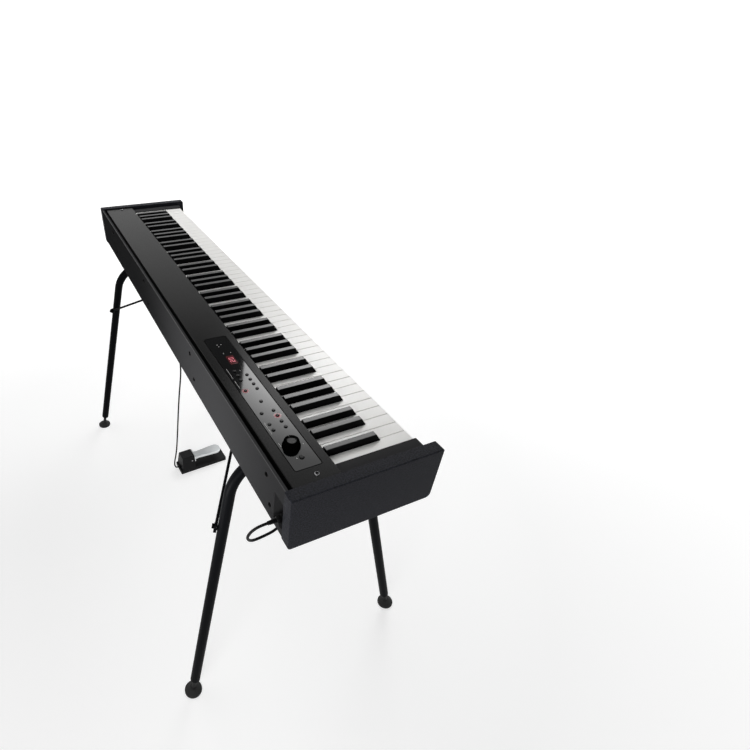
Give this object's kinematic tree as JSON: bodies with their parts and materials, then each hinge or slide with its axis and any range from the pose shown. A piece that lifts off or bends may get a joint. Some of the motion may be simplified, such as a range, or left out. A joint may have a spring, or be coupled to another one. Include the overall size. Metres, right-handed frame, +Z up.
{
  "type": "digital_piano_on_stand",
  "caption": "Full-size digital piano with weighted keys, control strip and rear sockets on a splayed bent-tube stand, with a damper pedal on a lead",
  "frame": {"origin": "on the floor at the middle of the piano's footprint", "axes": "+X along the keys from bass to treble, +Y from the player to the back, +Z up"},
  "size_m": [1.325, 0.5834, 0.7476],
  "materials": {
    "case_black": "satin",
    "cheek_grey": "fine texture",
    "panel_satin": "satin",
    "plate_gloss": "gloss",
    "display_red": "gloss",
    "button_plastic": "satin",
    "knob_plastic": "satin",
    "key_white": "satin",
    "key_black": "satin",
    "frame_plastic": "satin",
    "felt": "felt",
    "circuit_board": "satin",
    "contact_rubber": "matte",
    "zinc_steel": "satin",
    "black_steel": "satin",
    "tube_paint": "satin powder coat",
    "foot_rubber": "matte",
    "pedal_plastic": "fine texture",
    "tread_chrome": "polished",
    "cord_pvc": "satin"
  },
  "bodies": {
    "piano": {"bottom_board": "case_black", "rear_panel": "case_black", "key_slip": "case_black", "left_end_block": "case_black", "right_end_block": "case_black", "jack_box": "case_black", "left_cheek": "cheek_grey", "right_cheek": "cheek_grey", "top_panel": "panel_satin", "control_plate": "plate_gloss", "led_display": "display_red", "key_frame": "frame_plastic", "tact_switches": "frame_plastic", "jack_sockets": "frame_plastic", "key_felt": "felt", "key_contact_board": "circuit_board", "panel_board": "circuit_board", "main_board": "circuit_board", "contact_rubber": "contact_rubber", "volume_pot": "zinc_steel", "pedal_pin": "zinc_steel", "case_screws": "black_steel", "stand_bolts": "black_steel", "left_leg_frame": "tube_paint", "right_leg_frame": "tube_paint", "leg_brackets": "tube_paint", "brace_rods": "tube_paint", "pedal_housing": "pedal_plastic", "pedal_cord": "cord_pvc", "cord_plug": "cord_pvc", "cord_clips": "cord_pvc"},
    "white_keys_0_body": {"white_keys_0": "key_white"},
    "black_keys_0_body": {"black_keys_0": "key_black"},
    "white_keys_1_body": {"white_keys_1": "key_white"},
    "black_keys_1_body": {"black_keys_1": "key_black"},
    "white_keys_2_body": {"white_keys_2": "key_white"},
    "black_keys_2_body": {"black_keys_2": "key_black"},
    "white_keys_3_body": {"white_keys_3": "key_white"},
    "black_keys_3_body": {"black_keys_3": "key_black"},
    "white_keys_4_body": {"white_keys_4": "key_white"},
    "black_keys_4_body": {"black_keys_4": "key_black"},
    "white_keys_5_body": {"white_keys_5": "key_white"},
    "black_keys_5_body": {"black_keys_5": "key_black"},
    "white_keys_6_body": {"white_keys_6": "key_white"},
    "black_keys_6_body": {"black_keys_6": "key_black"},
    "white_keys_7_body": {"white_keys_7": "key_white"},
    "black_keys_7_body": {"black_keys_7": "key_black"},
    "power_button_body": {"power_button": "button_plastic"},
    "display_buttons_body": {"display_buttons": "button_plastic"},
    "voice_buttons_body": {"voice_buttons": "button_plastic"},
    "setting_buttons_body": {"setting_buttons": "button_plastic"},
    "effect_buttons_body": {"effect_buttons": "button_plastic"},
    "tempo_buttons_body": {"tempo_buttons": "button_plastic"},
    "left_front_foot_body": {"left_front_foot": "foot_rubber"},
    "left_rear_foot_body": {"left_rear_foot": "foot_rubber"},
    "right_front_foot_body": {"right_front_foot": "foot_rubber"},
    "right_rear_foot_body": {"right_rear_foot": "foot_rubber"},
    "volume_knob_body": {"volume_knob": "knob_plastic", "pot_shaft": "zinc_steel"},
    "pedal_tread_body": {"pedal_tread": "tread_chrome"}
  },
  "joints": [
    {"name": "white_keys_0_hinge", "type": "hinge", "parent": "piano", "child": "white_keys_0_body", "pos_m": [0, 0.104, 0.711], "axis": [1, 0, 0], "range_deg": [0, 2.65], "stiffness_Nm_per_rad": 3, "springref_deg": -6.88},
    {"name": "black_keys_0_hinge", "type": "hinge", "parent": "piano", "child": "black_keys_0_body", "pos_m": [0, 0.104, 0.711], "axis": [1, 0, 0], "range_deg": [0, 2.65], "stiffness_Nm_per_rad": 1.5, "springref_deg": -6.88},
    {"name": "white_keys_1_hinge", "type": "hinge", "parent": "piano", "child": "white_keys_1_body", "pos_m": [0, 0.104, 0.711], "axis": [1, 0, 0], "range_deg": [0, 2.65], "stiffness_Nm_per_rad": 10.5, "springref_deg": -6.88},
    {"name": "black_keys_1_hinge", "type": "hinge", "parent": "piano", "child": "black_keys_1_body", "pos_m": [0, 0.104, 0.711], "axis": [1, 0, 0], "range_deg": [0, 2.65], "stiffness_Nm_per_rad": 7.5, "springref_deg": -6.88},
    {"name": "white_keys_2_hinge", "type": "hinge", "parent": "piano", "child": "white_keys_2_body", "pos_m": [0, 0.104, 0.711], "axis": [1, 0, 0], "range_deg": [0, 2.65], "stiffness_Nm_per_rad": 10.5, "springref_deg": -6.88},
    {"name": "black_keys_2_hinge", "type": "hinge", "parent": "piano", "child": "black_keys_2_body", "pos_m": [0, 0.104, 0.711], "axis": [1, 0, 0], "range_deg": [0, 2.65], "stiffness_Nm_per_rad": 7.5, "springref_deg": -6.88},
    {"name": "white_keys_3_hinge", "type": "hinge", "parent": "piano", "child": "white_keys_3_body", "pos_m": [0, 0.104, 0.711], "axis": [1, 0, 0], "range_deg": [0, 2.65], "stiffness_Nm_per_rad": 10.5, "springref_deg": -6.88},
    {"name": "black_keys_3_hinge", "type": "hinge", "parent": "piano", "child": "black_keys_3_body", "pos_m": [0, 0.104, 0.711], "axis": [1, 0, 0], "range_deg": [0, 2.65], "stiffness_Nm_per_rad": 7.5, "springref_deg": -6.88},
    {"name": "white_keys_4_hinge", "type": "hinge", "parent": "piano", "child": "white_keys_4_body", "pos_m": [0, 0.104, 0.711], "axis": [1, 0, 0], "range_deg": [0, 2.65], "stiffness_Nm_per_rad": 10.5, "springref_deg": -6.88},
    {"name": "black_keys_4_hinge", "type": "hinge", "parent": "piano", "child": "black_keys_4_body", "pos_m": [0, 0.104, 0.711], "axis": [1, 0, 0], "range_deg": [0, 2.65], "stiffness_Nm_per_rad": 7.5, "springref_deg": -6.88},
    {"name": "white_keys_5_hinge", "type": "hinge", "parent": "piano", "child": "white_keys_5_body", "pos_m": [0, 0.104, 0.711], "axis": [1, 0, 0], "range_deg": [0, 2.65], "stiffness_Nm_per_rad": 10.5, "springref_deg": -6.88},
    {"name": "black_keys_5_hinge", "type": "hinge", "parent": "piano", "child": "black_keys_5_body", "pos_m": [0, 0.104, 0.711], "axis": [1, 0, 0], "range_deg": [0, 2.65], "stiffness_Nm_per_rad": 7.5, "springref_deg": -6.88},
    {"name": "white_keys_6_hinge", "type": "hinge", "parent": "piano", "child": "white_keys_6_body", "pos_m": [0, 0.104, 0.711], "axis": [1, 0, 0], "range_deg": [0, 2.65], "stiffness_Nm_per_rad": 10.5, "springref_deg": -6.88},
    {"name": "black_keys_6_hinge", "type": "hinge", "parent": "piano", "child": "black_keys_6_body", "pos_m": [0, 0.104, 0.711], "axis": [1, 0, 0], "range_deg": [0, 2.65], "stiffness_Nm_per_rad": 7.5, "springref_deg": -6.88},
    {"name": "white_keys_7_hinge", "type": "hinge", "parent": "piano", "child": "white_keys_7_body", "pos_m": [0, 0.104, 0.711], "axis": [1, 0, 0], "range_deg": [0, 2.65], "stiffness_Nm_per_rad": 12, "springref_deg": -6.88},
    {"name": "black_keys_7_hinge", "type": "hinge", "parent": "piano", "child": "black_keys_7_body", "pos_m": [0, 0.104, 0.711], "axis": [1, 0, 0], "range_deg": [0, 2.65], "stiffness_Nm_per_rad": 7.5, "springref_deg": -6.88},
    {"name": "power_button_press", "type": "slide", "parent": "piano", "child": "power_button_body", "axis": [0, 0, -1], "range_m": [0, 0.0008], "stiffness_N_per_m": 800, "springref_m": -0.0006},
    {"name": "display_buttons_press", "type": "slide", "parent": "piano", "child": "display_buttons_body", "axis": [0, 0, -1], "range_m": [0, 0.0008], "stiffness_N_per_m": 800, "springref_m": -0.0006},
    {"name": "voice_buttons_press", "type": "slide", "parent": "piano", "child": "voice_buttons_body", "axis": [0, 0, -1], "range_m": [0, 0.0008], "stiffness_N_per_m": 800, "springref_m": -0.0006},
    {"name": "setting_buttons_press", "type": "slide", "parent": "piano", "child": "setting_buttons_body", "axis": [0, 0, -1], "range_m": [0, 0.0008], "stiffness_N_per_m": 800, "springref_m": -0.0006},
    {"name": "effect_buttons_press", "type": "slide", "parent": "piano", "child": "effect_buttons_body", "axis": [0, 0, -1], "range_m": [0, 0.0008], "stiffness_N_per_m": 800, "springref_m": -0.0006},
    {"name": "tempo_buttons_press", "type": "slide", "parent": "piano", "child": "tempo_buttons_body", "axis": [0, 0, -1], "range_m": [0, 0.0008], "stiffness_N_per_m": 800, "springref_m": -0.0006},
    {"name": "volume_knob_turn", "type": "hinge", "parent": "piano", "child": "volume_knob_body", "pos_m": [-0.5594, 0.0788, 0.736], "axis": [0, 0, 1], "range_deg": [-150, 150]},
    {"name": "left_front_foot_screw", "type": "slide", "parent": "piano", "child": "left_front_foot_body", "axis": [-0.1066, -0.2229, -0.969], "range_m": [0, 0.008]},
    {"name": "left_rear_foot_screw", "type": "slide", "parent": "piano", "child": "left_rear_foot_body", "axis": [-0.1066, 0.2229, -0.969], "range_m": [0, 0.008]},
    {"name": "right_front_foot_screw", "type": "slide", "parent": "piano", "child": "right_front_foot_body", "axis": [0.1066, -0.2229, -0.969], "range_m": [0, 0.008]},
    {"name": "right_rear_foot_screw", "type": "slide", "parent": "piano", "child": "right_rear_foot_body", "axis": [0.1066, 0.2229, -0.969], "range_m": [0, 0.008]},
    {"name": "pedal_tread_hinge", "type": "hinge", "parent": "piano", "child": "pedal_tread_body", "pos_m": [0.1871, 0.04395, 0.041], "axis": [0.9988, 0.0489, 0], "range_deg": [0, 9], "stiffness_Nm_per_rad": 6, "springref_deg": -8.59}
  ]
}
